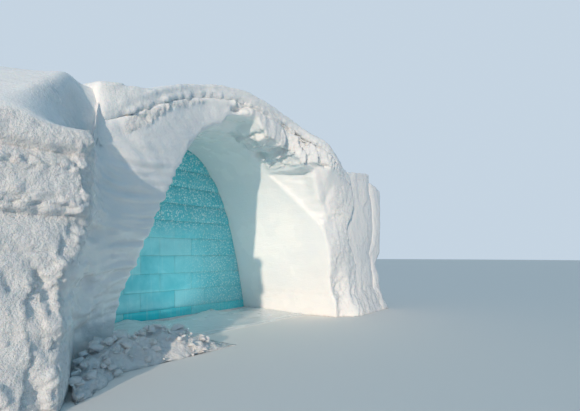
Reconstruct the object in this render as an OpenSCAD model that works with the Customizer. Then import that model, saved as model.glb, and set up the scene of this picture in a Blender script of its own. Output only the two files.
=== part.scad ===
// Snow igloo with a catenary vault, a set-back wall of ice blocks, a thick left pier and cracked right slabs.
// X runs along the front, Y into the building and Z up. The origin is on the floor, at the plan's middle.

/* [Plan] */
// Half width of the whole front, from the vault's axis
half_w = 5250; // [5000:50:5600]
// Half width of the front wall between the pier and the slabs
portal_half = 3270; // [3200:10:3500]
// From the pier's face back to the foot of the front wall, at the axis
foot_set = 1600; // [1450:10:1750]
// From the pier's face back to the face of the ice wall
ice_set = 4050; // [3800:10:4400]
// Length of the hall behind the ice wall
hall_l = 3200; // [2000:50:5000]
// Thickness of the rear wall
rear_t = 850; // [500:10:1200]

/* [Vault] */
// Clear half width of the vault on the floor, at the ice wall
vault_half = 2320; // [2200:10:2400]
// Clear height of the vault at the ice wall
vault_h = 4250; // [4050:10:4600]
// How much wider the vault is on each side at the front
splay = 440; // [300:10:500]
// How much lower the vault is at the front
front_drop = 130; // [80:5:200]
// Fullness of the catenary at the ice: a higher number gives a squarer arch
fullness = 2.6; // [2.4:0.1:3]
// Fullness of the catenary at the front
front_fullness = 4.2; // [3.6:0.1:4.6]
// Thickness of the hall's wall at the floor
wall_t = 1000; // [800:10:1200]
// Thickness of the hall's roof at the top
roof_t = 650; // [450:10:800]
// Height of the level joint in the hall's walls
wall_joint = 2000; // [1950:10:2300]

/* [Front wall] */
// Height of one lift of packed snow
lift_h = 650; // [600:10:700]
// Outward lean of the wall from its foot to its top
face_lean = 250; // [0:10:350]
// How far the wall stands forward beside the arch
wing_out = 300; // [100:10:400]
// How far the left leg is set back low down
leg_set = 480; // [200:10:550]
// Half width of the crown segment of the arch
crown_half = 1200; // [1000:10:1400]
// Height of the snow cap over the shoulders
shoulder_h = 3750; // [3700:10:3800]
// Thickness of the snow between the vault and its cap, on the axis
crown_t = 430; // [380:10:520]
// Half width of the hump over the arch
hump_half = 3150; // [3050:10:3200]
// Thickness of the snow cap
cap_t = 380; // [300:10:420]
// Depth of the broken snow that overhangs the right haunch
overhang = 240; // [0:10:300]
// How far the broken snow hangs below the vault's edge there
lip = 320; // [0:10:360]
// Depth of the scoop worn into the right edge of the opening
scoop = 150; // [0:10:200]
// How far the right leg's foot juts forward
foot_out = 400; // [0:10:450]

/* [Left pier] */
// Width of the pier's face
pier_face_w = 1250; // [1100:10:1350]
// How much narrower the face is in the lower lifts
corner_back = 330; // [0:10:400]
// Height of the thin top lift of the pier
pier_top_t = 290; // [250:10:400]
// Height of the drift over the pier
drift_h = 920; // [800:10:1000]
// Depth of the pier from its face
pier_d = 3900; // [3500:10:4000]
// Depth of the bulge on each lift
lift_bulge = 60; // [20:5:90]

/* [Right slabs] */
// Share of the slabs' width that the inner one takes
slab_share = 0.65; // [0.6:0.01:0.7]
// Depth of the slabs behind the front
slab_d = 2300; // [1800:10:2500]
// How much higher than the shoulder the inner slab is at its right edge
slab_rise = 140; // [0:10:200]
// How much lower than the shoulder the outer slab is at its right edge
slab_fall = 290; // [150:10:290]
// How far the face of the inner slab is set back from the front wall
slab_step = 110; // [60:5:160]
// How far the feet of the slabs spread forward
slab_foot = 300; // [0:10:350]

/* [Ice wall] */
// Thickness of the ice blocks
ice_t = 350; // [250:10:450]
// Height of the dark footing course
footing_h = 300; // [260:10:340]
// Height of an ice course
course_h = 420; // [405:5:430]
// Length of an ice block
block_l = 900; // [700:10:1100]
// Gap between the blocks of a course
block_gap = 5; // [3:1:10]
// Gap between the ice and the snow around it
ice_seat = 0.3; // [0.3:0.1:2]

/* [Rear doorway] */
// Half width of the doorway on the floor
door_half = 600; // [450:10:700]
// Height of the doorway
door_h = 1850; // [1800:10:1900]

/* [Snow on the floor] */
// Height of the snow sill against the ice
sill_h = 130; // [60:5:200]
// From the foot of the front wall back to the sill's front edge
sill_set = 450; // [300:10:700]
// Height of the rubble bank at the pier
bank_h = 430; // [300:10:600]
// Length of the rubble bank beyond the pier
bank_l = 2300; // [1800:10:2600]
// How far the rubble bank runs in under the vault
bank_in = 450; // [0:10:500]
// From the pier's face back to the front of the bank, in front of the opening
bank_set = 950; // [800:10:1100]

/* [Hidden] */
courses = 9;

ice_back = ice_set + ice_t;
bay_l = hall_l / 2;
total_d = ice_back + hall_l + rear_t;
y_mid = total_d / 2;
leg_h = 4 * lift_h;
pier_h = leg_h + pier_top_t;
// The splay ends at this share of the depth, just in front of the ice
splay_end = 0.86;
lean_h = 2600;
wing_start = 1000;
wing_run = 2000;
wing_rise = 1600;
wing_foot = 0.2;
depth_steps = [0, 0.12, 0.3, 0.5, 0.7, splay_end, 1];
leg_steps = 4;
haunch_steps = 6;
crown_steps = 8;
rise_steps = 4;

// Spots where the face of the front wall swells or sinks: middle x and z, reach in x and z
broken_spot = [1900, 3750, 700, 450];
scoop_spot = [2350, 2500, 450, 700];
leg_spot = [-2500, 900, 700, 1300];
foot_spot = [2750, 150, 480, 480];

// Hyperbolic cosine and its inverse give the catenary
function cosh(v) = (exp(v) + exp(-v)) / 2;
function acosh(v) = ln(v + sqrt(v * v - 1));
function arch_z(x, hw, ha, k = fullness) = ha * (1 - (cosh(k * x / hw) - 1) / (cosh(k) - 1));
function arch_x(z, hw, ha, k = fullness) = hw / k * acosh(1 + (1 - z / ha) * (cosh(k) - 1));
function mix(p, q, t) = p + (q - p) * t;
function smooth(t) = t <= 0 ? 0 : t >= 1 ? 1 : t * t * (3 - 2 * t);
function bump(x, z, spot) = exp(-pow((x - spot[0]) / spot[2], 2) - pow((z - spot[1]) / spot[3], 2));
function steps(n) = [for (i = [0 : n]) i / n];
function back(list) = [for (i = [len(list) - 1 : -1 : 0]) list[i]];

// The vault widens and fills out from the ice wall to the front
function flare(c) = max(0, 1 - c / splay_end);
function half_at(c) = vault_half + splay * flare(c);
function rise_at(c) = vault_h - front_drop * flare(c);
function full_at(c) = mix(fullness, front_fullness, flare(c));
function vault_x(z, c) = arch_x(z, half_at(c), rise_at(c), full_at(c));
function vault_z(x, c) = arch_z(x, half_at(c), rise_at(c), full_at(c));

// Height of the snow cap's back and of the crack under the cap
crown_top = rise_at(0) + crown_t + cap_t;
function sky(x) = mix(shoulder_h, crown_top, max(0, 1 - pow(x / hump_half, 2)));
function crack(x) = sky(x) - cap_t;

// Face of the front wall: it leans out, steps forward beside the arch and bulges where snow broke off
function face(x, z) = foot_set - face_lean * smooth(z / lean_h)
  - wing_out * smooth((abs(x) - wing_start) / wing_run) * mix(wing_foot, 1, smooth(z / wing_rise))
  - overhang * bump(x, z, broken_spot)
  + scoop * bump(x, z, scoop_spot)
  + leg_set * bump(x, z, leg_spot)
  - foot_out * bump(x, z, foot_spot);
function face_depth(x, z, c) = mix(face(x, z), ice_back, c);

// The two cracks beside the right slabs and the outer slab's broken edge wander with height: each path gives a share
// of the height of the cap's crack, then the shift to the right as a share of the slabs' width
near_path = [[0, 0.15], [0.18, 0.19], [0.33, 0.22], [0.41, 0.2], [0.47, 0.13], [0.58, -0.05], [0.66, -0.11],
  [0.71, -0.08], [0.79, 0.045], [0.87, 0.1], [0.94, 0.05], [1, 0]];
far_path = [[0, 0.1], [0.29, 0.09], [0.41, 0.02], [0.49, -0.04], [0.59, 0.07], [0.68, 0.09], [0.85, 0.07],
  [0.95, 0.02], [1, -0.03]];
edge_path = [[0, 0], [0.1, -0.11], [0.19, -0.03], [0.29, -0.05], [0.39, -0.18], [0.48, -0.01], [0.58, 0]];
crack_top = crack(portal_half);
function along(path, z) = (half_w - portal_half) * lookup(z / crack_top, path);
function near_crack(z) = along(near_path, z);

// A block whose six sides follow a shape p(a, b, c), with a along X, b upward and c along Y. Each patch of a
// side is split along its shorter diagonal.
module loft(p, as, bs, cs) {
  na = len(as);
  nb = len(bs);
  nc = len(cs);
  at = function(i, j, k) (i * nb + j) * nc + k;
  pts = [for (a = as, b = bs, c = cs) p(a, b, c)];
  split = function(q) norm(pts[q[0]] - pts[q[2]]) <= norm(pts[q[1]] - pts[q[3]])
    ? [[q[0], q[1], q[2]], [q[0], q[2], q[3]]] : [[q[0], q[1], q[3]], [q[1], q[2], q[3]]];
  cell = function(q, flip) split(flip ? [q[0], q[3], q[2], q[1]] : q);
  ends = [for (s = [0, 1], j = [0 : nb - 2], k = [0 : nc - 2]) let (i = s * (na - 1))
    cell([at(i, j, k), at(i, j + 1, k), at(i, j + 1, k + 1), at(i, j, k + 1)], s == 0)];
  levels = [for (s = [0, 1], i = [0 : na - 2], k = [0 : nc - 2]) let (j = s * (nb - 1))
    cell([at(i, j, k), at(i + 1, j, k), at(i + 1, j, k + 1), at(i, j, k + 1)], s == 1)];
  sides = [for (s = [0, 1], i = [0 : na - 2], j = [0 : nb - 2]) let (k = s * (nc - 1))
    cell([at(i, j, k), at(i + 1, j, k), at(i + 1, j + 1, k), at(i, j + 1, k)], s == 0)];
  polyhedron(points = pts, faces = [for (g = concat(ends, levels, sides), t = g) t], convexity = 6);
}

module place() {
  translate([0, -y_mid, 0]) children();
}

// Legs of the arch between the end of the front wall and the vault; the right one ends at the crack
module leg(side, z0, z1) {
  shape = function(a, b, c)
    let (z = mix(z0, z1, b), end = portal_half + (side > 0 ? near_crack(z) : 0),
         x = side * mix(end, vault_x(z, c), side > 0 ? 1 - a : a))
    [x, face_depth(x, z, c), z];
  color("aliceblue") place() loft(shape, steps(3), steps(leg_steps), depth_steps);
}

// Haunches of the arch: the underside is level over this share of them and follows the vault beyond it
seat_share = 0.4;
lip_x = 1700;
lip_run = 600;
lip_depth = 0.13;
function haunch_x(t, c) = let (inner = vault_x(leg_h, c)) t < seat_share
  ? mix(portal_half, inner, t / seat_share) : mix(inner, crown_half, (t - seat_share) / (1 - seat_share));
haunch_list = concat([for (i = [0 : 2]) seat_share * i / 2],
  [for (i = [1 : haunch_steps]) mix(seat_share, 1, i / haunch_steps)]);
function lip_at(x, c) = lip * max(0, 1 - c / lip_depth) * smooth(1 - abs(x - lip_x) / lip_run);
function haunch_top_x(t) = mix(portal_half, crown_half, t);
module haunch(side) {
  shape = function(a, b, c)
    let (t = side > 0 ? 1 - a : a, x0 = side * haunch_x(t, c), x1 = side * haunch_top_x(t),
         low = t <= seat_share ? leg_h : vault_z(x0, c) - lip_at(x0, c), z = mix(low, crack(x1), b),
         shift = side > 0 ? near_crack(z) * max(0, 1 - t / seat_share) : 0, x = mix(x0, x1, b) + shift)
    [x, face_depth(x, z, c), z];
  list = side > 0 ? [for (t = back(haunch_list)) 1 - t] : haunch_list;
  color("aliceblue") place() loft(shape, list, steps(rise_steps), depth_steps);
}

module arch_crown() {
  shape = function(a, b, c)
    let (x = mix(-crown_half, crown_half, a), z = mix(vault_z(x, c), crack(x), b))
    [x, face_depth(x, z, c), z];
  color("aliceblue") place() loft(shape, steps(crown_steps), steps(rise_steps), depth_steps);
}

// Snow cap over the front wall, with a rounded nose and a back that falls a little. It swells at its left end,
// where the drift runs into it.
cap_nose = 0.65;
cap_round = 0.3;
cap_fall = 0.2;
cap_fall_start = 0.4;
cap_lean = 60;
swell_h = 180;
swell_start = 2600;
swell_run = 600;
function cap_rise(c) = mix(cap_nose, 1, sin(90 * min(1, c / cap_round)))
  - cap_fall * smooth((c - cap_fall_start) / (1 - cap_fall_start));
function cap_swell(x) = swell_h * smooth((-x - swell_start) / swell_run);
module cap(list) {
  shape = function(a, b, c)
    let (x = a, z = crack(x) + (cap_t * cap_rise(c) + cap_swell(x)) * b)
    [x, face_depth(x, crack(x), c) + (1 - c) * cap_lean * b, z];
  color("white") place() loft(shape, list, steps(2), depth_steps);
}
cap_side = [for (t = haunch_list) haunch_top_x(t)];
cap_middle = [for (i = [0 : crown_steps]) mix(-crown_half, crown_half, i / crown_steps)];
module cap_over(side) {
  cap(side > 0 ? back(cap_side) : [for (x = cap_side) -x]);
}

// Left pier: a flat face, then a face turned in to the front wall, and how far back each lift is set
pier_turn = -half_w + pier_face_w;
corner_h = 2000;
corner_run = 800;
function turn_at(z) = pier_turn - corner_back * smooth((corner_h - z) / corner_run);
pier_list = [0, 0.3, 0.53, 0.65, 0.77, 0.89, 1];
pier_proud = 20;
lift_set = [0, 30, 60, 20, 50];
function pier_end(z) = face(-portal_half, z) - pier_proud;
function pier_line(z) = [for (t = pier_list) let (x = mix(-half_w, -portal_half, t))
  [x, pier_end(z) * smooth((x - turn_at(z)) / (-portal_half - turn_at(z)))]];
function pier_plan(x, z) = lookup(x, pier_line(z));
pillow_power = 4;
function pillow(t) = 1 - pow(2 * t - 1, pillow_power);
module pier_lift(z0, z1, lift) {
  middle = (z0 + z1) / 2;
  shape = function(a, b, c)
    let (x = mix(-half_w, -portal_half, a), z = mix(z0, z1, b),
         front = pier_plan(x, middle) + lift_set[lift] * (1 - a) + lift_bulge * (1 - pillow(b)))
    [x, mix(front, pier_d, c), z];
  color("white") place() loft(shape, pier_list, steps(4), steps(3));
}

// Wind drift on the pier: its crest leaves the pier's edge on the left, runs back and returns to the edge at
// the cap. Behind the crest the snow rises slowly, and in front of it the snow drops steeply to the pier's top.
drift_set = 90;
drift_nose = 60;
drift_side = 50;
drift_fall = 250;
drift_slope = [0.29, 0.65];
crest = [[-half_w, -470], [-4710, 0], [-4050, 600], [-3600, 250], [-portal_half, -250]];
crest_run = 500;
crest_share = 0.6;
drift_list = [0, 0.15, 0.27, 0.36, 0.44, 0.51, 0.58, 0.65, 0.72, 0.79, 0.86, 0.93, 1];
drift_steps = [0, 0.05, 0.1, 0.15, 0.2, 0.26, 0.34, 0.46, 0.6, 0.8, 1];
function drift_rise(x, y) = drift_slope[0] * (x - crest[1][0]) + drift_slope[1] * y;
module drift() {
  shape = function(a, b, c)
    let (x = mix(-half_w, -portal_half, a), front = pier_plan(x, pier_h) + drift_set, y = mix(front, pier_d, c),
         top = max(drift_nose, min(drift_rise(x, y), drift_h + drift_side * a)),
         h = mix(drift_nose, top, smooth((y - front - lookup(x, crest)) / crest_run + crest_share)))
    [x, y, pier_h + (h - drift_fall * smooth(2 * c - 1)) * b];
  color("white") place() loft(shape, drift_list, steps(2), drift_steps);
}

// Right slabs: snow split off along upright cracks. Each is drawn between two paths, in rows up to the height of
// the cap's crack and a last row at its own top.
slab_x = mix(portal_half, half_w, slab_share);
slab_drop = 80;
slab_round = 40;
slab_power = 4;
slab_foot_h = 700;
outer_share = 1.15;
slab_rows = concat([for (i = [0 : 2 * leg_steps]) leg_h * i / (2 * leg_steps)],
  [for (i = [1 : rise_steps]) mix(leg_h, crack_top, i / rise_steps)], [shoulder_h]);
function slab_front(a, z) = face(portal_half, lean_h) + slab_round * pow(2 * a - 1, slab_power)
  - slab_foot * (1 - smooth(z / slab_foot_h));
module slab(x0, x1, step, tops, left, right) {
  shape = function(a, b, c)
    let (z = b < shoulder_h ? b : mix(tops[0], tops[1], a))
    [mix(x0 + along(left, z), x1 + along(right, z), a), mix(slab_front(a, z) + step, foot_set + slab_d, c), z];
  color("white") place() loft(shape, steps(4), slab_rows, steps(4));
}

// Outline of the vault in the zone of the ice, through the corners of the snow segments
ring_half = concat(
  [for (i = [0 : 2 * leg_steps]) let (z = leg_h * i / (2 * leg_steps)) [vault_x(z, 1), z]],
  [for (i = [1 : haunch_steps]) let (x = haunch_x(mix(seat_share, 1, i / haunch_steps), 1)) [x, vault_z(x, 1)]],
  [for (i = [1 : crown_steps / 2]) let (x = crown_half * (1 - 2 * i / crown_steps)) [x, vault_z(x, 1)]]
);
function seat(p) = [p[0] * (1 - ice_seat / vault_half), p[1] * (1 - ice_seat / vault_h)];
ring = concat([for (p = ring_half) seat(p)],
  [for (i = [len(ring_half) - 2 : -1 : 0]) let (p = seat(ring_half[i])) [-p[0], p[1]]]);
module upright(depth) {
  rotate([90, 0, 0]) linear_extrude(depth) children();
}
// A row of blocks, cut to the vault; a block that would be a scrap at the edge is left out
least_block = 40;
bond = [-0.5, -0.05];
module ice_row(z0, h, shift) {
  count = ceil(vault_half / block_l) + 1;
  reach = arch_x(z0, vault_half, vault_h) - least_block;
  for (i = [-count : count]) {
    x0 = (i + shift) * block_l;
    if (x0 < reach && x0 + block_l > -reach)
      intersection() {
        translate([0, ice_back, 0]) upright(ice_t) polygon(ring);
        translate([x0 + block_gap / 2, ice_set, z0]) cube([block_l - block_gap, ice_t, h]);
      }
  }
}
module ice_footing() {
  color("darkcyan") place() ice_row(0, footing_h, bond[0]);
}
function course_z(i) = footing_h + (i - 1) * course_h;
module ice_course(i) {
  top = i == courses ? vault_h : course_z(i + 1);
  color("lightblue") place() ice_row(course_z(i), top - course_z(i), bond[i % 2]);
}

// Low bank of snow between the legs, in front of the ice
sill_gap = 15;
sill_edge = 20;
sill_wave = 0.25;
sill_turns = 2;
function leg_inner(y) = let (front = face(-vault_half - splay, 0), c = max(0, (y - front) / (ice_back - front)))
  vault_x(sill_h * (1 + sill_wave), c) - sill_gap;
module snow_sill() {
  shape = function(a, b, c)
    let (y = mix(foot_set + sill_set, ice_set - ice_seat, c), x = mix(-leg_inner(y), leg_inner(y), a),
         h = mix(sill_edge, sill_h, smooth(c)) * (1 + sill_wave * sin(360 * sill_turns * a) * sin(180 * c)))
    [x, y, h * b];
  color("white") place() loft(shape, steps(12), [0, 1], steps(5));
}

// Bank of broken snow against the pier and the left leg, running out across the opening
bank_first = 3;
bank_line = pier_line(lift_h / 2);
bank_x0 = bank_line[bank_first][0];
bank_gap = 0.3;
bank_clear = 25;
bank_toe = 180;
bank_turn = 1000;
bank_under = 500;
bank_edge = 15;
bank_rough = 0.16;
bank_end = -portal_half + bank_l;
bank_xs = concat([for (i = [bank_first : len(bank_line) - 1]) bank_line[i][0]],
  [for (t = steps(20)) if (t > 0) mix(-portal_half, bank_end, t)]);
function bank_back(x) = x <= -portal_half ? lookup(x, bank_line) - bank_gap
  : min(face(x, 0), face(x, bank_h)) - bank_clear + bank_in * smooth((x + vault_half + splay) / bank_under);
function bank_front(x) = mix(bank_line[bank_first][1] - bank_toe, bank_set, smooth((x - bank_x0) / bank_turn));
// It leans on the pier at its start, is a free heap further on and tapers out at its end
bank_free = 0.4;
bank_fade = 0.3;
bank_turns = [140, 180];
bank_power = 0.8;
bank_ends = [0.4, 0.8];
lump_turns = [[1500, 400], [900, 1100]];
function bank_profile(a, c) = sin(mix(bank_turns[0], bank_turns[1], smooth(a / bank_free)) * pow(c, bank_power));
function bank_along(a) = mix(1, bank_ends[1], smooth(a)) * mix(bank_ends[0], 1, smooth(a / bank_fade))
  * smooth((1 - a) / bank_fade);
function bank_lump(a, c) = 1 + bank_rough * sin(lump_turns[0] * [a, c]) * sin(lump_turns[1] * [a, c]);
module rubble_bank() {
  shape = function(x, b, c)
    let (a = (x - bank_x0) / (bank_end - bank_x0), y = mix(bank_front(x), bank_back(x), c),
         h = bank_h * bank_profile(a, c) * bank_along(a) * bank_lump(a, c))
    [x, y, max(bank_edge, h) * b];
  color("white") place() loft(shape, bank_xs, [0, 1], steps(9));
}

// Hall behind the ice: the vault's shell in two bays
function hall_out(z) = arch_x(z, vault_half + wall_t, vault_h + roof_t);
function hall_top(x) = arch_z(x, vault_half + wall_t, vault_h + roof_t);
hall_in_wall = [for (i = [0 : 4]) let (z = wall_joint * i / 4) [arch_x(z, vault_half, vault_h), z]];
hall_out_wall = [for (i = [0 : 4]) let (z = wall_joint * i / 4) [hall_out(z), z]];
joint_in = arch_x(wall_joint, vault_half, vault_h);
joint_out = hall_out(wall_joint);
hall_in_roof = [for (i = [0 : 12]) let (x = joint_in * cos(90 * i / 12)) [x, arch_z(x, vault_half, vault_h)]];
hall_out_roof = [for (i = [0 : 12]) let (x = joint_out * cos(90 * i / 12)) [x, hall_top(x)]];
function turn(list, side) = [for (p = list) [side * p[0], p[1]]];
module hall_piece(bay, side, inner, outer) {
  color("aliceblue") place() translate([0, ice_back + bay * bay_l, 0])
    upright(bay_l) polygon(turn(concat(inner, back(outer)), side));
}
module hall_wall(bay, side) {
  hall_piece(bay, side, hall_in_wall, hall_out_wall);
}
module hall_roof(bay, side) {
  hall_piece(bay, side, hall_in_roof, hall_out_roof);
}

// Rear wall with a low arched doorway
door_line = [for (i = [0 : 8]) let (x = door_half * cos(90 * i / 8)) [x, arch_z(x, door_half, door_h)]];
module rear_wall_side(side) {
  color("aliceblue") place() translate([0, total_d, 0]) upright(rear_t)
    polygon(turn(concat(door_line, [[0, wall_joint]], back(hall_out_wall)), side));
}
module rear_wall_head() {
  color("aliceblue") place() translate([0, total_d, 0]) upright(rear_t)
    polygon(concat(hall_out_roof, turn(back([for (i = [0 : 11]) hall_out_roof[i]]), -1)));
}

for (i = [1 : 4])
  pier_lift((i - 1) * lift_h, i * lift_h, i - 1);
pier_lift(leg_h, pier_h, 4);  // pier_top_lift
drift();  // pier_drift
leg(-1, 0, leg_h / 2);  // left_leg_lower
leg(-1, leg_h / 2, leg_h);  // left_leg_upper
leg(1, 0, leg_h / 2);  // right_leg_lower
leg(1, leg_h / 2, leg_h);  // right_leg_upper
haunch(-1);  // left_haunch
arch_crown();  // crown
haunch(1);  // right_haunch
cap_over(-1);  // cap_left
cap(cap_middle);  // cap_crown
cap_over(1);  // cap_right
slab(portal_half, slab_x, slab_step, [shoulder_h, shoulder_h + slab_rise], near_path, far_path);  // slab_inner
slab(slab_x, half_w, outer_share * slab_step, [shoulder_h - slab_drop, shoulder_h - slab_fall], far_path,  // slab_outer
    edge_path);
ice_footing();
for (i = [1 : courses]) ice_course(i);
snow_sill();
rubble_bank();
for (i = [1, 2]) {
  hall_wall(i, -1);
  hall_wall(i, 1);
  hall_roof(i, -1);
  hall_roof(i, 1);
}
rear_wall_side(-1);  // rear_wall_left
rear_wall_side(1);  // rear_wall_right
rear_wall_head();
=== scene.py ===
import bpy
import bmesh
import math
import random
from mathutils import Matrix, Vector, noise


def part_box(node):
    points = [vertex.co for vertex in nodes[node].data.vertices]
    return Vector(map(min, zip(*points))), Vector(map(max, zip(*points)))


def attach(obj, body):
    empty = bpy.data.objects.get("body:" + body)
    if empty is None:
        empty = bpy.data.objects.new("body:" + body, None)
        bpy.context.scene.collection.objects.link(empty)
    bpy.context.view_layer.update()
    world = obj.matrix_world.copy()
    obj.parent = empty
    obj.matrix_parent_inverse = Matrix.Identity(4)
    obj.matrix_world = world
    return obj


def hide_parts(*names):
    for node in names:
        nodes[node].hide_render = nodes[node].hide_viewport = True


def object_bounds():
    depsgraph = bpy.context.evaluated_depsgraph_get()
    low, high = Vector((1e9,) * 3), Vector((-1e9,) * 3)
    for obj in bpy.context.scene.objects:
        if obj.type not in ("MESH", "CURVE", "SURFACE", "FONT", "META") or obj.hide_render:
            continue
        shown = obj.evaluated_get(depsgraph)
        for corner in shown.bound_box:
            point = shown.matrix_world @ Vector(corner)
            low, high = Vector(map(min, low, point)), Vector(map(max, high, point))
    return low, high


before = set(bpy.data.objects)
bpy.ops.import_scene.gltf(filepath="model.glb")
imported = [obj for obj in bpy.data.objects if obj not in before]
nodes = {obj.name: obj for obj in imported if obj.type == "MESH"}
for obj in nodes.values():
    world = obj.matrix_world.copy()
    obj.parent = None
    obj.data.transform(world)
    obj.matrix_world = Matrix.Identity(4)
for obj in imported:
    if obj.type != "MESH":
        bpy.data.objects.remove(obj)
cad_low, cad_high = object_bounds()
scene = bpy.context.scene

# Sizes of the part's source, in metres: X along the front, Y into the building
SIDE_X = 3.27           # half width of the front round the portal
PIER_TURN_X = -4.0      # where the pier's face turns in to the front
PIER_TURN_BACK = 0.33   # how much further left it turns in at the foot
LIFT = 0.65             # height of a lift of packed snow
PIER_H = 2.89
SHOULDER_H = 3.75       # height of the front at its sides
CROWN_H = 4.93
HUMP_HALF = 3.15        # half width of the hump over the arch
CAP_T = 0.38            # thickness of the cap above its crack
FRONT_Y = -3.1
ICE_BACK_Y = 0.175
SPLAY_END = 0.86        # share of the depth over which the vault narrows
VAULT_HALF = 2.32
SPLAY = 0.44            # how much wider the vault is at the front, on each side
VAULT_H = 4.25
FRONT_DROP = 0.13       # how much lower the vault is at the front
FULL_BACK = 2.6         # fullness of the catenary at the ice
FULL_FRONT = 4.2
LEDGE_H = 3.57          # ledge at the right of the arch
HALL_JOINTS_Y = (1.775, 3.375)  # joints between the hall's bays and its rear wall
SPRING_H = 2.0          # joint between the hall's walls and roof

# Sizes of the finish, in metres
THIN_SNOW = 0.014       # least height of a top face above the floor
PIER_ROWS = ((2.50, 0.09), (2.08, 0.12))  # crumbling rows of the pier's face: height and reach
PIER_JOINTS = ((4 * LIFT, 0.06, 0.03), (3 * LIFT, 0.05, 0.032), (1.62, 0.02, 0.03))  # height, depth and reach
SCOOP = 0.34            # depth of the worn facet
CAP_UP = 0.12           # how far the cap's left end is raised
DRIFT_RISE = 0.97       # the drift's height over the pier
DRIFT_ROUND = 9         # how sharply its rise ends
CREST_STEPS = (-0.12, -0.06, 0.0, 0.06, 0.12)  # places averaged to round the crest's corners
SILL_T = 0.13           # thickness of the sill in the source
JOINT_FILL = 0.0024     # how far each end of an ice block reaches into its joint
MELTED_EDGE = 0.006     # width of the worn edges of an ice block

# Crest of the drift over the pier, as (x, y) pairs
DRIFT_CREST = ((-5.25, -4.6), (-4.71, -4.14), (-4.37, -3.88), (-3.88, -3.41), (-3.6, -3.1), (-3.27, -2.72),
               (-3.0, -2.6))
# Lower edge of the front at the crown, as (x, z) pairs
ARCH_EDGE = ((-1.2, 3.83), (-0.8, 4.01), (-0.4, 4.09), (0.0, 4.12), (0.4, 4.09), (0.8, 4.01), (1.2, 3.8),
             (1.5, 3.62), (2.0, 3.3))
# Height of the snow against the ice, as (x, z) pairs
SILL_CREST = ((-2.4, 0.08), (-1.69, 0.09), (-1.31, 0.2), (-0.95, 0.11), (-0.31, 0.05), (0.41, 0.08), (1.06, 0.15),
              (1.4, 0.04), (1.84, 0.06), (2.35, 0.1))
# Where the noise for each axis of a chip's tilt is read, so that it's the same in each run
TILT_APART = (Vector((11.3, -7.1, 5.9)), Vector((-17.7, 3.3, 23.1)), Vector((29.9, 13.7, -19.3)))

# Colours of the finishes
BLUE_SPECKS = (0.70, 0.78, 0.85)
PALE_BLOCKS = (0.50, 0.84, 0.86)
FROST = (0.66, 0.92, 0.92)
DRIPS = (0.60, 0.88, 0.88)
GROUND = (0.88, 0.84, 0.80)
SKY_LIGHT = (0.30, 0.68, 1.0)
SKY_SHOWN = (0.56, 0.66, 0.76)
SUN_LIGHT = (1.0, 0.82, 0.66)
FILL_LIGHT = (1.0, 0.95, 0.9)
ICE_LIGHT = (0.72, 1.0, 1.0)
SNOW_GLOSS = {"Specular IOR Level": 0.25, "Subsurface Weight": 0.15, "Subsurface Radius": (0.03, 0.05, 0.07),
              "Subsurface Scale": 1.0}
ICE_GLOSS = {"IOR": 1.31, "Coat Weight": 0.25, "Coat Roughness": 0.15, "Subsurface Weight": 0.3,
             "Subsurface Radius": (0.03, 0.09, 0.10), "Subsurface Scale": 1.0}


def place_camera():
    """The photo's view: eye at 1.6 m, left of the pier, turned 51.5 degrees to the right of the building's depth."""
    lens = bpy.data.cameras.new("front_left_camera")
    lens.sensor_fit = "HORIZONTAL"
    lens.sensor_width = 36
    lens.lens = 24.83
    lens.shift_y = 0.0836
    lens.clip_end = 400
    camera = bpy.data.objects.new("front_left_camera", lens)
    camera.location = (-5.87, -8.375, 1.6)
    camera.rotation_euler = (math.radians(90), 0, math.radians(-51.5))
    scene.collection.objects.link(camera)
    scene.camera = camera


# ---- shaders ----

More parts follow.
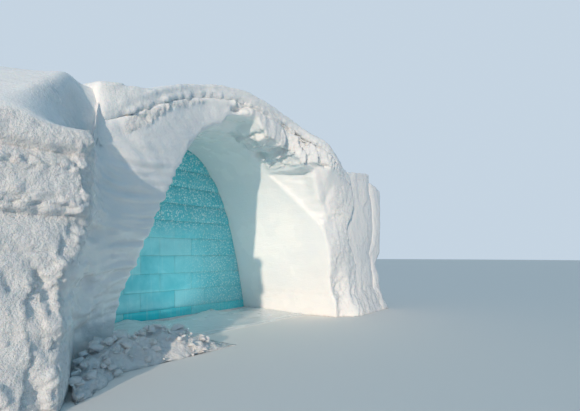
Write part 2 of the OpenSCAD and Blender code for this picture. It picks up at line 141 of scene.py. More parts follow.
class Shader:
    """A material's node tree, built with short calls."""

    def __init__(self, name):
        self.material = bpy.data.materials.new(name)
        self.material.use_nodes = True
        self.tree = self.material.node_tree
        self.tree.nodes.clear()
        self.out = self.tree.nodes.new("ShaderNodeOutputMaterial")
        self.bsdf = self.tree.nodes.new("ShaderNodeBsdfPrincipled")
        self.tree.links.new(self.bsdf.outputs["BSDF"], self.out.inputs["Surface"])
        self.place = self.tree.nodes.new("ShaderNodeTexCoord").outputs["Object"]

    def link(self, value, socket):
        """Joins a socket's output, or sets a plain value."""
        if hasattr(value, "is_output"):
            self.tree.links.new(value, socket)
        else:
            socket.default_value = value

    def settings(self, values):
        for socket, value in values.items():
            self.bsdf.inputs[socket].default_value = value

    def grain(self, scale, detail, rough=0.55, stretch=(1, 1, 1), turn=(0, 0, 0), twist=0.0):
        mapping = self.tree.nodes.new("ShaderNodeMapping")
        self.tree.links.new(self.place, mapping.inputs["Vector"])
        mapping.inputs["Scale"].default_value = stretch
        mapping.inputs["Rotation"].default_value = turn
        node = self.tree.nodes.new("ShaderNodeTexNoise")
        self.tree.links.new(mapping.outputs["Vector"], node.inputs["Vector"])
        node.inputs["Scale"].default_value = scale
        node.inputs["Detail"].default_value = detail
        node.inputs["Roughness"].default_value = rough
        node.inputs["Distortion"].default_value = twist
        return node.outputs["Fac"]

    def cells(self, scale):
        """Distance to the middle of the nearest cell."""
        node = self.tree.nodes.new("ShaderNodeTexVoronoi")
        self.tree.links.new(self.place, node.inputs["Vector"])
        node.inputs["Scale"].default_value = scale
        return node.outputs["Distance"]

    def ramp(self, value, low, high):
        """0 at low, 1 at high, eased at both ends."""
        node = self.tree.nodes.new("ShaderNodeMapRange")
        node.interpolation_type = "SMOOTHSTEP"
        self.link(value, node.inputs["Value"])
        node.inputs["From Min"].default_value = low
        node.inputs["From Max"].default_value = high
        return node.outputs["Result"]

    def pair(self, kind, a, b):
        node = self.tree.nodes.new("ShaderNodeMath")
        node.operation = kind
        self.link(a, node.inputs[0])
        self.link(b, node.inputs[1])
        return node.outputs["Value"]

    def times(self, a, b):
        return self.pair("MULTIPLY", a, b)

    def larger(self, a, b):
        return self.pair("MAXIMUM", a, b)

    def axis(self, name):
        node = self.tree.nodes.new("ShaderNodeSeparateXYZ")
        self.tree.links.new(self.place, node.inputs["Vector"])
        return node.outputs[name]

    def mark(self, name):
        """A number stored on the mesh's points."""
        node = self.tree.nodes.new("ShaderNodeAttribute")
        node.attribute_name = name
        return node.outputs["Fac"]

    def blend(self, share, a, b):
        """Colour a at a share of 0, colour b at 1."""
        node = self.tree.nodes.new("ShaderNodeMix")
        node.data_type = "RGBA"
        self.link(share, node.inputs["Factor"])
        for value, socket in ((a, node.inputs[6]), (b, node.inputs[7])):
            self.link((*value, 1) if isinstance(value, tuple) else value, socket)
        return node.outputs[2]

    def relief(self, height, distance, strength, under=None):
        """Relief as deep as distance, on top of the relief under it."""
        node = self.tree.nodes.new("ShaderNodeBump")
        node.inputs["Distance"].default_value = distance
        self.link(strength, node.inputs["Strength"])
        self.tree.links.new(height, node.inputs["Height"])
        if under is not None:
            self.tree.links.new(under, node.inputs["Normal"])
        return node.outputs["Normal"]

    def finish(self, colour, roughness, normal):
        self.tree.links.new(colour, self.bsdf.inputs["Base Color"])
        self.link(roughness, self.bsdf.inputs["Roughness"])
        self.tree.links.new(normal, self.bsdf.inputs["Normal"])
        return self.material


def snow_finish(name, light, shade, fine, coarse, streak=(1, 1, 1), turn=(0, 0, 0)):
    """Snow with broad duller patches and bluish specks, crumbs where the mesh is marked rough, scrapes and grain."""
    s = Shader(name)
    broad = s.grain(0.9, detail=4)
    speck = s.ramp(s.grain(38, detail=2), 0.6, 0.75)
    colour = s.blend(s.ramp(broad, 0.35, 0.7), shade, light)
    colour = s.blend(s.times(speck, 0.2), colour, BLUE_SPECKS)
    crumbs = s.relief(s.grain(15, detail=5, rough=0.72), 0.05, s.ramp(s.mark("rough"), 0.0, 1.0))
    scrapes = s.relief(s.grain(7, detail=4, rough=0.6, stretch=streak, turn=turn), coarse, 0.5, crumbs)
    grain = s.relief(s.grain(45, detail=3, rough=0.7), fine, 0.8, scrapes)
    s.settings(SNOW_GLOSS)
    return s.finish(colour, s.ramp(broad, 0.0, 1.6), grain)


def ice_finish(name, clear, deep, frost_share):
    """Cloudy ice, paler block by block, under a frosty crust that covers its upper courses and its right side."""
    s = Shader(name)
    cloud = s.grain(1.6, detail=5, rough=0.6, twist=0.6)
    colour = s.blend(s.ramp(cloud, 0.3, 0.75), deep, clear)
    colour = s.blend(s.times(s.mark("tone"), 0.5), colour, PALE_BLOCKS)
    high = s.ramp(s.axis("Z"), 1.9, 2.5)
    side = s.ramp(s.axis("X"), -0.2, 1.4)
    crust = s.larger(high, s.times(side, 0.8))
    colour = s.blend(s.times(crust, 0.75), colour, deep)
    dots = s.ramp(s.cells(24), 0.62, 0.28)
    flecks = s.ramp(s.grain(17, detail=4, rough=0.75), 0.42, 0.56)
    frost = s.times(s.times(crust, s.times(flecks, dots)), frost_share)
    colour = s.blend(frost, colour, FROST)
    drips = s.ramp(s.grain(3, detail=4, rough=0.6, stretch=(5, 1, 0.35)), 0.55, 0.75)
    colour = s.blend(s.times(drips, 0.25), colour, DRIPS)
    crumbs = s.relief(s.grain(24, detail=3, rough=0.7), 0.03, crust)
    swells = s.relief(s.grain(4, detail=3, rough=0.5), 0.02, 0.5, crumbs)
    s.settings(ICE_GLOSS)
    return s.finish(colour, s.ramp(crust, -0.6, 1.6), swells)


# ---- tools for snow: p is a place, n the direction its face looks ----

def mix(a, b, t):
    return a + (b - a) * t


def held(value, low, high):
    return max(low, min(high, value))


def smooth(t):
    """0 below 0, 1 above 1, eased between."""
    t = max(0.0, min(1.0, t))
    return t * t * (3 - 2 * t)


def band(value, middle, reach):
    """1 at the middle, falling away within the reach."""
    return math.exp(-((value - middle) / reach) ** 2)


def between(value, low, high, soft):
    """1 from low to high, with soft ends inside them."""
    return smooth((value - low) / soft) * smooth((high - value) / soft)


def along(path, at):
    """Height of a polyline of (place, height) pairs."""
    if at <= path[0][0]:
        return path[0][1]
    for (a, low), (b, high) in zip(path, path[1:]):
        if at <= b:
            return mix(low, high, (at - a) / (b - a))
    return path[-1][1]


def leaning(p, lean):
    """The place moved sideways with its height, so that streaks slant."""
    return p + Vector((lean * p.z, 0, 0))


def lumps(p, size, seed=0.0):
    """Round lumps of that size."""
    return 0.45 - noise.voronoi(p / size + Vector((seed, seed, seed)))[0][0]


def waves(p, scale, seed=0.0):
    """Soft noise with its own scale along each axis."""
    return noise.noise(Vector((p.x * scale[0] + seed, p.y * scale[1] + seed, p.z * scale[2])))


def crumble(p, size, seed=0.0):
    """Grainy broken snow: four sizes of noise on top of each other."""
    q = p / size + Vector((seed, seed, seed))
    return (0.4 * noise.noise(q) + 0.28 * noise.noise(q * 2.1) + 0.2 * noise.noise(q * 4.3)
            + 0.12 * noise.noise(q * 8.7))


def chips(p, size, seed=0.0):
    """Broken faces that turn to the left: each cell has its own height and tilt, with a step to the next one."""
    q = Vector((p.x / size[0] + seed, p.y / size[1] + seed, p.z / size[2]))
    cell = noise.voronoi(q)[1][0]
    tilt = Vector([noise.noise(cell * 3.7 + apart) for apart in TILT_APART]) + Vector((0.5, 0, 0))
    return noise.noise(cell * 5.3) + 1.3 * tilt.dot(q - cell)


def crack_height(x):
    """Height of the crack under the cap."""
    return mix(SHOULDER_H, CROWN_H, max(0.0, 1 - (x / HUMP_HALF) ** 2)) - CAP_T


def turn_x(z):
    """Where the pier's face turns in to the front wall."""
    return PIER_TURN_X - PIER_TURN_BACK * smooth((2.0 - z) / 0.8)


def vault_half(y, z):
    """Half width of the vault at that depth and height: a catenary that fills out to the front."""
    flare = max(0.0, 1 - (y - FRONT_Y) / (ICE_BACK_Y - FRONT_Y) / SPLAY_END)
    half, rise = VAULT_HALF + SPLAY * flare, VAULT_H - FRONT_DROP * flare
    full = mix(FULL_BACK, FULL_FRONT, flare)
    if z >= rise:
        return 0.0
    return half / full * math.acosh(1 + (1 - z / rise) * (math.cosh(full) - 1))


def copied(names):
    """The CAD solids of these names in one bmesh, with each solid's doubles merged."""
    bm = bmesh.new()
    for name in names:
        solid = bmesh.new()
        solid.from_mesh(nodes[name].data)
        bmesh.ops.remove_doubles(solid, verts=solid.verts, dist=0.00002)
        mesh = bpy.data.meshes.new("solid")
        solid.to_mesh(mesh)
        solid.free()
        bm.from_mesh(mesh)
        bpy.data.meshes.remove(mesh)
    return bm


def one_skin(name, bm, voxel):
    """One closed skin round all the solids of the bmesh."""
    raw = bpy.data.meshes.new(name + "_raw")
    bm.to_mesh(raw)
    bm.free()
    shell = bpy.data.objects.new(name + "_raw", raw)
    scene.collection.objects.link(shell)
    skin = shell.modifiers.new("skin", "REMESH")
    skin.mode = "VOXEL"
    skin.voxel_size = voxel
    mesh = bpy.data.meshes.new_from_object(shell.evaluated_get(bpy.context.evaluated_depsgraph_get()))
    bpy.data.objects.remove(shell)
    bpy.data.meshes.remove(raw)
    bm = bmesh.new()
    bm.from_mesh(mesh)
    bpy.data.meshes.remove(mesh)
    return bm


def refine(bm, wanted):
    """Halves the faces where wanted(place, direction) holds."""
    edges = list(dict.fromkeys(e for f in bm.faces if wanted(f.calc_center_median(), f.normal) for e in f.edges))
    bmesh.ops.subdivide_edges(bm, edges=edges, cuts=1, use_grid_fill=True)
    bmesh.ops.triangulate(bm, faces=[f for f in bm.faces if len(f.verts) > 4])


def rub(bm, points, times):
    """Rubs the points down to the mean of their neighbours, half the way each time."""
    for _ in range(times):
        bmesh.ops.smooth_vert(bm, verts=points, factor=0.5, use_axis_x=True, use_axis_y=True, use_axis_z=True)


def soften(bm, times, foot=0.06):
    """Rounds the edges, and keeps the height of all points that lie lower than the foot."""
    kept = [(v, v.co.z) for v in bm.verts if v.co.z < foot]
    rub(bm, bm.verts, times)
    for v, z in kept:
        v.co.z = z


def melt(bm, times, wanted):
    """Smooths the points where wanted(place) holds."""
    rub(bm, [v for v in bm.verts if wanted(v.co)], times)


def weather(bm, relief, shift=None):
    """Moves each point out by relief(p, n), then by shift(p, n), marks how rough it is, and keeps it in the CAD box."""
    bm.normal_update()
    rough = bm.verts.layers.float.new("rough")
    moved = []
    for v in bm.verts:
        depth, crumbly = relief(v.co, v.normal)
        p = v.co + v.normal * depth
        if shift is not None:
            p += shift(v.co, v.normal)
        v[rough] = crumbly
        moved.append(p)
    for v, p in zip(bm.verts, moved):
        underside = v.co.z < 0.03 and v.normal.z < -0.5
        least = THIN_SNOW if v.normal.z > 0.3 else 0.0
        z = 0.0 if underside else max(least, min(cad_high.z, p.z))
        v.co = Vector((held(p.x, cad_low.x, cad_high.x), held(p.y, cad_low.y, cad_high.y), z))


def keep(name, bm, material, slot, *replaced):
    """Makes the bmesh a piece that stands for those CAD nodes."""
    for face in bm.faces:
        face.smooth = True
    mesh = bpy.data.meshes.new(name)
    bm.to_mesh(mesh)
    bm.free()
    mesh.materials.append(material)
    piece = bpy.data.objects.new(name, mesh)
    scene.collection.objects.link(piece)
    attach(piece, "root")
    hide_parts(*replaced)


# ---- relief of each piece: depth along n, and how rough it is ----

def blended(a, b, share):
    """Mix of two pairs of depth and roughness."""
    return mix(a[0], b[0], share), mix(a[1], b[1], share)


def ripples(p):
    """Level ripples that the wind cut into the shaded snow beside the pier."""
    bent = p + 0.14 * Vector((0, 0, waves(p, (1.2, 1.2, 1.2))))
    return 0.05 * waves(bent, (1.1, 1.1, 8.5)) + 0.03 * waves(bent, (2.5, 2.5, 17), 5.0)


def pier_relief(p, n):
    """The pier's rough face with its open joints, its crumbling corner and its wind-rippled turned side."""
    turn = turn_x(p.z)
    face = smooth((turn + 0.12 - p.x) / 0.15)
    corner = band(p.x, turn + 0.1, 0.2)
    crumbly = max(face, corner)
    rows = max(band(p.z, height, reach) for height, reach in PIER_ROWS)
    low = smooth((1.85 - p.z) / 0.5)
    depth = 0.012 * waves(p, (0.9, 0.9, 0.9)) + 0.005 * waves(p, (3, 3, 3), 4.0) - 0.05 * face
    depth += face * rows * (0.10 * crumble(p, 0.13) + 0.04 * lumps(p, 0.1) + 0.02)
    depth += corner * (0.10 * crumble(p, 0.17, 4.0) + 0.03 * lumps(p, 0.09, 3.0))
    slump = p + Vector((0.5 * p.z, 0, 0.1 * waves(p, (3, 3, 3))))
    depth += face * low * (0.045 * waves(slump, (2.6, 2.6, 0.9), 2.0) + 0.04 * waves(slump, (8, 8, 2), 9.0))
    grit = 0.025 * crumble(p, 0.3, 1.0) + 0.02 * crumble(p, 0.12, 5.0)
    depth += face * (grit + 0.03 * low * chips(p, (0.2, 0.3, 0.35), 2.0))
    depth += face * 0.04 * (band(p.z, LIFT, 0.1) + band(p.z, 2 * LIFT, 0.1))
    wander = 0.03 * waves(p, (1.1, 1.1, 0), 7.0)
    for height, cut, reach in PIER_JOINTS:
        depth -= face * cut * band(p.z, height + wander, reach)
    depth += corner * (0.05 * waves(p, (0, 0, 1.3), 1.7) + 0.03 * waves(p, (0, 0, 3.6), 5.1))
    rippled = (1 - crumbly) * between(p.z, 0.5, 2.9, 0.4)
    depth += rippled * ripples(p)
    return depth, mix(0.15 + 0.3 * rippled, 0.9, crumbly)


def broken_share(p):
    """1 in the broken snow at the right of the arch: from the cap's crack down to a ledge, on the forward part."""
    under = crack_height(p.x) - p.z
    reach = mix(0.45, 1.15, smooth((p.x + 0.2) / 1.4))
    edge = 0.05 * waves(p, (6, 6, 6), 2.0)
    tall = smooth((reach - under + edge) / 0.16)
    return between(p.x, -0.85, 2.7, 0.35) * tall * smooth((p.z - LEDGE_H - 0.02) / 0.08) * smooth((-1.7 - p.y) / 0.3)


def front_relief(p, n):
    """The front wall: pebbles under the crack, broken snow, ripples at the left and a scratched face at the right."""
    front = smooth((-n.y - 0.15) / 0.4)
    under = crack_height(p.x) - p.z
    depth = 0.012 * waves(p, (0.9, 0.9, 0.9)) + 0.006 * waves(p, (3, 3, 3), 4.0)

    row_end = mix(0.30, 0.13, smooth((p.x + 3.0) / 1.4)) + 0.06 * waves(p, (2.5, 0, 0), 5.0)
    row = between(p.x, -3.1, -1.2, 0.2) * between(under, 0.03, row_end, 0.04)
    depth += front * row * (0.045 * lumps(p, 0.085, 1.0) + 0.05 * crumble(p, 0.12, 3.0) + 0.01)

    broken = broken_share(p)
    flutes = mix(0.06, 0.10, front) * chips(p, (0.34, 0.6, 0.7), 1.0) + 0.035 * chips(p, (0.12, 0.3, 0.3), 4.0)
    flutes += 0.02 * lumps(p, 0.12, 6.0)
    plate = between(p.x, -0.3, 0.85, 0.12) * smooth((n.z + 0.9) / 0.3)
    depth += broken * mix(flutes, 0.06 + 0.03 * waves(p, (9, 9, 1.5), 3.0), plate)
    depth -= broken * front * 0.20 * band(p.x, -0.58, 0.16) * band(p.z, 4.12, 0.16)
    depth -= broken * 0.16 * band(p.x, 0.98, 0.12) * band(p.z, 3.98, 0.14)
    depth -= front * 0.09 * between(p.x, -0.45, 1.9, 0.15) * band(under, 0.075, 0.05)

    face = front * (1 - row) * (1 - broken)
    slanting = p + Vector((0, 0, 0.4 * p.x))
    depth += face * (0.010 * waves(p, (2.2, 2.2, 2.2)) + 0.010 * waves(slanting, (4, 4, 11), 3.0))
    depth += face * smooth((-1.9 - p.x) / 0.5) * between(p.z, 0.4, 3.4, 0.4) * ripples(p)

    right = face * smooth((p.x - 2.3) / 0.4)
    scratches = 0.008 * waves(leaning(p, 0.5), (14, 14, 3), 8.0)
    depth += right * (0.012 * chips(p, (0.5, 0.5, 0.9), 6.0) + scratches)
    depth += right * 0.02 * crumble(p, 0.12, 2.0)
    streaks = 0.04 * waves(leaning(p, -0.4), (9, 9, 2), 5.0)
    depth += right * smooth((1.3 - p.z) / 0.6) * (streaks + 0.05 * crumble(p, 0.2, 6.0))
    depth += right * 0.03 * band(p.z, 2.62 + 0.1 * waves(p, (3, 3, 0), 1.0), 0.05)
    return depth, max(0.8 * row, 0.6 * broken, 0.3 * front + 0.3 * right, 0.05)


def vault_relief(p, n):
    """The carved inside of the vault: almost smooth, rippled at the left, with a faint level line near the floor."""
    depth = 0.006 * waves(p, (0.8, 0.8, 0.8)) + 0.006 * waves(p, (1.5, 1.5, 7), 3.0)
    depth += smooth((-1.6 - p.x) / 0.5) * smooth((-1.2 - p.y) / 0.8) * between(p.z, 0.4, 3.4, 0.4) * ripples(p)
    return depth - 0.012 * band(p.z, 0.6 + 0.02 * p.y, 0.03), 0.12


def inside_share(p, n):
    """1 on the inside of the vault, 0 on the other faces."""
    if p.y <= -3.4 or abs(p.x) >= 2.95:
        return 0.0
    inward = n.x * (-1 if p.x > 0 else 1)
    return smooth((max(inward, -n.z * 1.5) - 0.25) / 0.25)


def wall_relief(p, n):
    """The front wall, run into the pier and its drift at the left and into the vault on the inside."""
    front = front_relief(p, n)
    side = smooth((-SIDE_X + 0.12 - p.x) / 0.2)
    if side > 0:
        pier = blended((front[0], 0.4), pier_relief(p, n), smooth((-1.4 - p.y) / 1.4))
        pier = blended(pier, drift_relief(p, n), smooth((p.z - PIER_H) / 0.05))
        return blended(front, pier, side)
    share = inside_share(p, n) * (1 - broken_share(p))
    return blended(front, vault_relief(p, n), share) if share else front


def scoop(p):
    """The worn facet in the right edge of the opening: it starts at a slanting line and ends under a ledge."""
    if not (0.9 <= p.x <= 3.4 and p.y <= -1.5 and 2.0 <= p.z <= 3.9):
        return Vector()
    line = 3.59 + (p.y + 1.83) * 1.28
    reach = 0.62 * (p.z - line)
    depth = SCOOP * max(0.0, reach) + 0.05 * smooth(reach / 0.08)
    fold = 0.05 * (abs(((p.z + 0.35 * p.y) * 1.9) % 1.0 - 0.5) - 0.25) + 0.02 * waves(p, (4, 4, 7), 3.0)
    ledge = LEDGE_H + 0.03 * waves(p, (5, 5, 0)) + 0.14 * smooth((-2.9 - p.y) / 0.25)
    depth = min(SCOOP, depth + fold * smooth(reach / 0.2)) * smooth((ledge - p.z) / 0.05)
    away = max(0.0, p.x - vault_half(p.y, p.z))
    return Vector((depth * max(0.0, 1 - away / (2 * max(depth, 0.01))), 0, 0))


def broken_edge(p):
    """The crown's edge broken away left of the middle, and the plates that hang from it on the right."""
    if not (-1.1 <= p.x <= 2.0 and p.y <= -1.7 and p.z >= 3.3):
        return Vector()
    above = p.z - along(ARCH_EDGE, p.x)
    near = smooth((0.42 - above) / 0.34)
    away = 0.15 * between(p.x, -0.95, 0.12, 0.2) * smooth((-2.0 - p.y) / 0.5)
    jag = 0.10 * waves(p, (4.5, 4.5, 0), 3.0)
    hang = between(p.x, 0.16 + jag, 1.6, 0.1) * smooth((-1.92 - p.y + jag) / 0.14)
    hang *= mix(1, 0.1, smooth((p.x - 0.85) / 0.4))
    hang *= 0.10 + 0.08 * waves(p, (3.2, 3.2, 0), 8.0)
    return Vector((-0.35 * hang * near, 0, (away - hang) * near))


def wall_foot(p, n):
    """Snow that fills the corner between the right leg's foot and the slabs, up to the slabs' face."""
    if p.x < 2.85 or p.z > 1.6 or n.y > 0.3:
        return Vector()
    swelling = 0.4 * band(p.x, 2.75, 0.48) * band(p.z, 0.15, 0.48)
    leg = 1.6 - 0.25 * smooth(p.z / 2.6) - 0.3 * mix(0.2, 1, smooth(p.z / 1.6)) - swelling
    slab = 1.13 - 0.3 * (1 - smooth(p.z / 0.7))
    return Vector((0, -max(0.0, leg - slab) * smooth((p.x - 2.85) / 0.4), 0))


def drift_top(x, y):
    """Height of the drift: a rounded rise, a steep fall in front of its crest, and the shoulder's height by the cap."""
    crest = sum(along(DRIFT_CREST, x + step) for step in CREST_STEPS) / len(CREST_STEPS)
    rise = 0.29 * (x + 4.71) + 0.65 * (y - cad_low.y)
    top = DRIFT_RISE - math.log(1 + math.exp(DRIFT_ROUND * (DRIFT_RISE - rise))) / DRIFT_ROUND
    hump = 0.08 * band(x, -3.6, 0.3)
    run = mix(0.42, 0.7, smooth((x + 3.7) / 0.4))
    back = 0.08 * smooth((y - crest - 0.3) / 2.2)
    drift = PIER_H + (max(0.0, top) + hump) * smooth((y - crest) / run + 0.8) - back
    by_cap = smooth((x + 3.8) / 0.45) * smooth((y + 3.3) / 0.35) * smooth((-1.0 - y) / 0.8)
    return mix(drift, SHOULDER_H + 0.1, by_cap)


def drift_shift(p, n):
    """Puts the top of the drift on its smooth shape."""
    if p.x > -SIDE_X + 0.04 or p.z < PIER_H + 0.02 or n.z < 0.05:
        return Vector()
    share = smooth((n.z - 0.05) / 0.15)
    return Vector((0, 0, share * (drift_top(p.x, p.y) - p.z)))


def drift_relief(p, n):
    """Level streaks where the wind cut the slope; soft swells elsewhere."""
    steep = smooth((0.8 - n.z) / 0.3)
    bent = p + 0.1 * Vector((0, 0, waves(p, (1.5, 1.5, 1.5))))
    swells = 0.010 * waves(p, (0.8, 0.8, 0.8), 2.0) + 0.004 * waves(p, (3, 3, 3), 5.0)
    streaks = 0.020 * waves(bent, (1.0, 1.0, 12), 3.0) + 0.012 * crumble(p, 0.25, 2.0)
    return swells + steep * streaks, 0.1 + 0.4 * steep


def wall_shift(p, n):
    return scoop(p) + broken_edge(p) + wall_foot(p, n) + drift_shift(p, n)


def wall_shows(p, n):
    """The rough faces that look forward, the broken snow over the arch and the rippled left side of the vault."""
    over_pier = p.x < -SIDE_X + 0.05 and p.z > PIER_H - 0.02
    forward = n.y < -0.35 and p.y < -2.3 and p.z > 0.02 and not over_pier
    broken = -1.0 < p.x < 2.8 and p.y < -1.7 and 3.3 < p.z < 4.3
    rippled = p.x < -1.7 and p.y < -1.6 and 0.3 < p.z < 3.4 and n.x > 0.6
    return forward or broken or rippled


def cap_relief(p, n):
    """Wind-blown snow: long soft swells, faint layers in its face, and a crumbling lower edge above the crack."""
    crack = crack_height(p.x)
    face = smooth((-n.y - 0.1) / 0.4) if p.x > -SIDE_X else 0.0
    lip = smooth((0.12 - (p.z - crack)) / 0.1) * face
    depth = 0.016 * waves(p, (0.8, 0.8, 0.8), 2.0) + 0.007 * waves(p, (0.9, 3.2, 2.2), 5.0) - 0.008
    layer = p - Vector((0, 0, crack))
    depth += face * (0.026 * waves(layer, (0.8, 0.8, 13), 1.0) + 0.020 * waves(layer, (2.5, 2.5, 22), 4.0))
    crumbs = lip * (0.08 * crumble(p, 0.16, 4.0) + 0.04 * waves(p, (3.5, 0, 0), 6.0))
    depth += crumbs + face * 0.03 * crumble(p, 0.25, 7.0)
    return depth, max(0.05, 0.6 * lip, 0.5 * face)


def cap_settle(p, n):
    """Lets the cap down onto the wall unevenly, so that the crack under it narrows and widens, and raises its left
    end and runs it into the drift."""
    down = -0.035 - 0.03 * waves(p, (2.6, 0, 0), 3.0) if n.z < -0.3 else 0.0
    up = CAP_UP * smooth((-2.3 - p.x) / 0.8) * smooth((p.z - crack_height(p.x) - 0.06) / 0.25)
    up *= smooth((n.z + 0.4) / 0.3)
    left = 0.08 * smooth((-n.x - 0.3) / 0.4) * smooth((-3.1 - p.x) / 0.1)
    return Vector((-left, 0, down + up))


def slab_relief(p, n):
    """Split snow: scratched flat faces, lumpy at the cracks and streaky at the feet."""
    front = smooth((-n.y - 0.1) / 0.4)
    low = smooth((1.0 - p.z) / 0.6)
    depth = 0.010 * waves(p, (1.2, 1.2, 1.2)) + 0.005 * waves(p, (5, 5, 2.4), 3.0)
    scratches = 0.006 * waves(leaning(p, 0.5), (15, 15, 4), 4.0)
    depth += front * (0.010 * chips(p, (0.45, 0.45, 0.8), 5.0) + scratches)
    streaks = 0.03 * waves(leaning(p, -0.3), (8, 8, 2), 2.0)
    depth += front * low * (streaks + 0.015 * lumps(p, 0.14, 1.0))
    depth += (1 - front) * smooth((-2.6 - p.y) / 0.4) * 0.03 * lumps(p, 0.2, 7.0)
    return depth, mix(0.35, 0.8, low * front)


def plain_relief(p, n):
    """The hidden rear: packed snow with a groove at each joint of its segments."""
    depth = 0.015 * waves(p, (0.9, 0.9, 0.9)) + 0.007 * waves(p, (3.5, 3.5, 3.5), 2.0)
    depth += 0.012 * waves(p, (1.4, 1.4, 9), 4.0) * smooth(p.z / 0.3)
    if p.z > 0.05:
        for joint in HALL_JOINTS_Y:
            depth -= 0.03 * band(p.y, joint, 0.05)
        depth -= 0.025 * band(p.z, SPRING_H, 0.05)
    return depth, 0.3


def heap_relief(p, n):
    """Rubble: large lumps with small ones on them."""
    return 0.12 * lumps(p, 0.26, 3.0) + 0.05 * lumps(p, 0.1, 1.0) - 0.01, 1.0


def sill_relief(p, n):
    """The bank against the ice: its crest follows SILL_CREST, and its front runs out flat."""
    if n.z < 0.2:
        return 0.0, 0.2
    crest = smooth((p.y + 0.9) / 0.6)
    depth = crest * (along(SILL_CREST, p.x) - SILL_T) + 0.010 * waves(p, (2.2, 2.2, 2.2))
    return depth + 0.03 * lumps(p, 0.2, 2.0) * crest, 0.35


# ---- loose lumps of snow ----

def add_lump(bm, place, size, dice):
    """A broken lump of snow: a hull of a few scattered points, with its edges worn."""
    before = set(bm.verts)
    build = Vector((dice.uniform(0.7, 1.3), dice.uniform(0.7, 1.3), dice.uniform(0.55, 1.0)))
    points = []
    for _ in range(11):
        way = Vector((dice.gauss(0, 1), dice.gauss(0, 1), dice.gauss(0, 1))).normalized() * dice.uniform(0.8, 1.0)
        spot = place + Vector((way.x * build.x, way.y * build.y, way.z * build.z)) * size
        points.append(bmesh.ops.create_vert(bm, co=spot)["vert"][0])
    bmesh.ops.convex_hull(bm, input=points)
    bmesh.ops.delete(bm, geom=[v for v in points if not v.link_faces], context="VERTS")
    edges = list(dict.fromkeys(e for v in bm.verts if v not in before for e in v.link_edges))
    bmesh.ops.bevel(bm, geom=edges, offset=size * 0.07, offset_type="OFFSET", affect="EDGES", segments=1,
                    profile=0.5, material=-1, clamp_overlap=True)


def scatter_lumps(bm, spots, dice):
    """Adds a lump at each spot, marks all the points rough and keeps them above the floor."""
    rough = bm.verts.layers.float.get("rough")
    for place, size in spots:
        add_lump(bm, place, size, dice)
    for v in bm.verts:
        v[rough] = max(v[rough], 0.7)
        v.co.z = max(0.0, v.co.z)


def heap_spots(name, count, small, large, dice):
    """Places and sizes of lumps on the top of a CAD solid, the larger ones near its crest."""
    low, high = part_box(name)
    solid = nodes[name].data
    tops = [f for f in solid.polygons if f.normal.z > 0.2]
    spots = []
    for f in dice.choices(tops, weights=[f.area for f in tops], k=count):
        corners = [solid.vertices[i].co for i in f.vertices]
        a, b = sorted((dice.random(), dice.random()))
        p = corners[0] * a + corners[1] * (b - a) + corners[2] * (1 - b)
        size = mix(small, large, dice.random() ** 2) * mix(0.5, 1.0, smooth((p.z - low.z) / (high.z - low.z)))
        p = Vector((p.x, p.y, p.z + size * 0.15))
        if p.y - size * 1.3 > cad_low.y and p.x < high.x - 0.45:
            spots.append((p, size))
    return spots


# ---- ice ----

def cut_planes(bm, low, high, step, way):
    """Cuts the mesh across, about one step apart, so that its faces can bulge."""
    count = int((high - low) / step)
    for i in range(1, count):
        at = low + (high - low) * i / count
        bmesh.ops.bisect_plane(bm, geom=bm.verts[:] + bm.edges[:] + bm.faces[:], plane_co=way * at, plane_no=way,
                               dist=0.002)


def tint_blocks(bm, dice):
    """Marks all the points of a block with one tone."""
    tone = bm.verts.layers.float.new("tone")
    seen = set()
    for start in bm.verts:
        if start in seen:
            continue
        shade, block = dice.random(), [start]
        seen.add(start)
        while block:
            v = block.pop()
            v[tone] = shade
            for e in v.link_edges:
                other = e.other_vert(v)
                if other not in seen:
                    seen.add(other)
                    block.append(other)


def ice_row(name, material, slot, course):
    """A course of ice blocks with melted edges; from the fifth course up the blocks bulge unevenly."""
    bm = copied([name])
    bmesh.ops.dissolve_limit(bm, angle_limit=0.02, verts=bm.verts, edges=bm.edges)
    for v in bm.verts:
        ends = [f.normal.x for f in v.link_faces if abs(f.normal.x) > 0.9]
        v.co.x += JOINT_FILL * (sum(ends) / len(ends) if ends else 0)
    sharp = [e for e in bm.edges if len(e.link_faces) == 2 and e.calc_face_angle() > 0.5]
    bmesh.ops.bevel(bm, geom=sharp, offset=MELTED_EDGE, offset_type="OFFSET", affect="EDGES", segments=2,
                    profile=0.5, material=-1, clamp_overlap=True)
    tint_blocks(bm, random.Random(40 + course))
    low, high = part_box(name)
    cut_planes(bm, low.x, high.x, step=0.09, way=Vector((1, 0, 0)))
    cut_planes(bm, low.z, high.z, step=0.07, way=Vector((0, 0, 1)))
    bmesh.ops.triangulate(bm, faces=bm.faces)
    bm.normal_update()
    bulge = 0.03 * smooth((course - 4) / 2)
    moved = []
    for v in bm.verts:
        p = v.co.copy()
        if v.normal.y < -0.6:
            level = (p.z - low.z) / (high.z - low.z)
            p.y -= bulge * math.sin(math.pi * held(level, 0.0, 1.0)) ** 0.6
            p.y -= 0.008 * (1 + waves(p, (2.3, 2.3, 2.3), course)) + bulge * 0.4 * waves(p, (4, 4, 6), 3.0)
        moved.append(p)
    for v, p in zip(bm.verts, moved):
        v.co = p
    for e in bm.edges:
        e.smooth = len(e.link_faces) != 2 or e.calc_face_angle() < 0.7
    keep(name + "_blocks", bm, material, slot, name)


# ---- the igloo ----

place_camera()

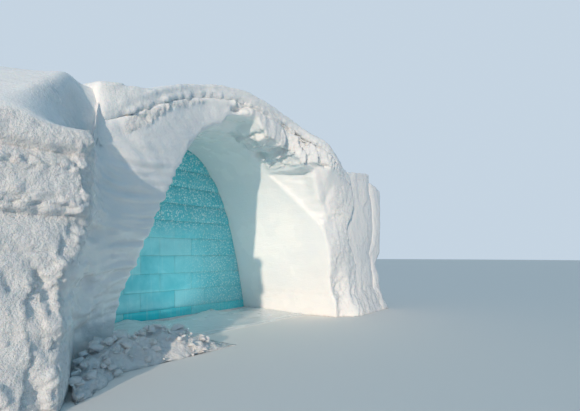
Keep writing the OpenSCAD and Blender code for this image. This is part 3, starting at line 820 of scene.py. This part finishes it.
packed = snow_finish("packed_snow", light=(0.89, 0.88, 0.865), shade=(0.82, 0.835, 0.84), fine=0.008, coarse=0.015,
                     streak=(1, 1, 2.5), turn=(0, 0.5, 0))
rough_snow = snow_finish("rough_snow", light=(0.87, 0.86, 0.85), shade=(0.79, 0.80, 0.81), fine=0.012, coarse=0.03)
drifted = snow_finish("drift_snow", light=(0.88, 0.88, 0.87), shade=(0.82, 0.84, 0.85), fine=0.006, coarse=0.008,
                      streak=(1, 3, 3))
clear_ice = ice_finish("clear_ice", clear=(0.27, 0.78, 0.84), deep=(0.10, 0.60, 0.68), frost_share=1.0)
dark_ice = ice_finish("dark_ice", clear=(0.04, 0.80, 0.86), deep=(0.02, 0.62, 0.70), frost_share=0.4)

PIER = ["pier_lift_1", "pier_lift_2", "pier_lift_3", "pier_lift_4", "pier_top_lift", "pier_drift"]
WALL = ["left_leg_lower", "left_leg_upper", "right_leg_lower", "right_leg_upper", "left_haunch", "crown",
        "right_haunch"]
CAP = ["cap_left", "cap_crown", "cap_right"]
REAR = [f"hall_{part}_{side}_{bay}" for bay in (1, 2) for part in ("wall", "roof") for side in ("left", "right")]
REAR += ["rear_wall_left", "rear_wall_right", "rear_wall_head"]

# The pier, its drift and the front wall are one mass of snow
wall = one_skin("front_wall", copied(PIER + WALL), voxel=0.056)
soften(wall, times=1)
refine(wall, wall_shows)
soften(wall, times=2)
weather(wall, wall_relief, wall_shift)
melt(wall, times=3, wanted=lambda p: p.x < -SIDE_X + 0.1 and p.z > PIER_H - 0.05 and p.y > -4.15)
keep("front_wall_snow", wall, packed, "packed_snow", *PIER, *WALL)

cap = one_skin("top_drift", copied(CAP), voxel=0.042)
soften(cap, times=2)
weather(cap, cap_relief, cap_settle)
melt(cap, times=6, wanted=lambda p: p.x < -3.05)
keep("top_drift_snow", cap, drifted, "drift_snow", *CAP)

for node in ("slab_inner", "slab_outer"):
    slab = one_skin(node, copied([node]), voxel=0.036)
    soften(slab, times=1)
    weather(slab, slab_relief)
    keep(node + "_snow", slab, rough_snow, "rough_snow", node)

rear = one_skin("hall", copied(REAR), voxel=0.065)
soften(rear, times=1)
weather(rear, plain_relief)
keep("hall_snow", rear, packed, "packed_snow", *REAR)

dice = random.Random(7)
heap = one_skin("rubble", copied(["rubble_bank"]), voxel=0.03)
soften(heap, times=1, foot=0.03)
weather(heap, heap_relief)
scatter_lumps(heap, heap_spots("rubble_bank", count=230, small=0.03, large=0.15, dice=dice), dice)
keep("rubble_heap_snow", heap, rough_snow, "rough_snow", "rubble_bank")

sill = one_skin("sill", copied(["snow_sill"]), voxel=0.024)
soften(sill, times=1, foot=0.02)
weather(sill, sill_relief)
keep("sill_snow", sill, drifted, "drift_snow", "snow_sill")

ice_row("ice_footing", dark_ice, "dark_ice", 0)
for course in range(1, 10):
    ice_row(f"ice_course_{course}", clear_ice, "clear_ice", course)


# ---- floor, sky and lamps ----

def pale_ground():
    """A plain level floor that reaches to the horizon."""
    bm = bmesh.new()
    bmesh.ops.create_circle(bm, cap_ends=True, segments=96, radius=120)
    mesh = bpy.data.meshes.new("ground")
    bm.to_mesh(mesh)
    bm.free()
    ground = bpy.data.objects.new("ground", mesh)
    scene.collection.objects.link(ground)
    s = Shader("pale_ground")
    s.settings({"Base Color": (*GROUND, 1), "Roughness": 0.9})
    mesh.materials.append(s.material)


def light_world():
    """Blue light from the sky; the camera, and what mirrors or lets light through, sees a paler one."""
    world = bpy.data.worlds.new("soft_sky")
    world.use_nodes = True
    tree = world.node_tree
    tree.nodes.clear()
    out = tree.nodes.new("ShaderNodeOutputWorld")
    fill = tree.nodes.new("ShaderNodeBackground")
    fill.inputs["Color"].default_value = (*SKY_LIGHT, 1)
    fill.inputs["Strength"].default_value = 0.42
    shown = tree.nodes.new("ShaderNodeBackground")
    shown.inputs["Color"].default_value = (*SKY_SHOWN, 1)
    path = tree.nodes.new("ShaderNodeLightPath")
    seen = path.outputs["Is Camera Ray"]
    for ray in ("Is Glossy Ray", "Is Transmission Ray"):
        either = tree.nodes.new("ShaderNodeMath")
        either.operation = "MAXIMUM"
        tree.links.new(seen, either.inputs[0])
        tree.links.new(path.outputs[ray], either.inputs[1])
        seen = either.outputs[0]
    pick = tree.nodes.new("ShaderNodeMixShader")
    tree.links.new(seen, pick.inputs[0])
    tree.links.new(fill.outputs[0], pick.inputs[1])
    tree.links.new(shown.outputs[0], pick.inputs[2])
    tree.links.new(pick.outputs[0], out.inputs["Surface"])
    scene.world = world


def add_lamp(name, kind, energy, place, target, **settings):
    """A lamp at a place, aimed at its target."""
    lamp = bpy.data.lights.new(name, kind)
    lamp.energy = energy
    for key, value in settings.items():
        setattr(lamp, key, value)
    holder = bpy.data.objects.new(name, lamp)
    holder.location = place
    holder.rotation_euler = (Vector(target) - Vector(place)).to_track_quat("-Z", "Y").to_euler()
    scene.collection.objects.link(holder)
    return holder


def place_lamps():
    """A low sun from the left, a soft fill from the front left, and the glow of the ice inside the vault."""
    heading, height = math.radians(27.3), math.radians(12)
    way = Vector((math.cos(heading) * math.cos(height), math.sin(heading) * math.cos(height), -math.sin(height)))
    add_lamp("key", "SUN", 2.6, -way * 30, (0, 0, 0), angle=math.radians(1.2), color=SUN_LIGHT)
    add_lamp("left_fill", "AREA", 330, (-15, -15, 9), (0, -2, 1.5), shape="DISK", size=9, color=FILL_LIGHT)
    glow = add_lamp("vault_glow", "AREA", 18, (-0.2, -1.9, 0.25), (-0.6, -1.7, 4), shape="RECTANGLE", size=2.6,
                    size_y=1.0, color=ICE_LIGHT)
    glow.visible_camera = False


pale_ground()
light_world()
place_lamps()
scene.view_settings.view_transform = "Standard"
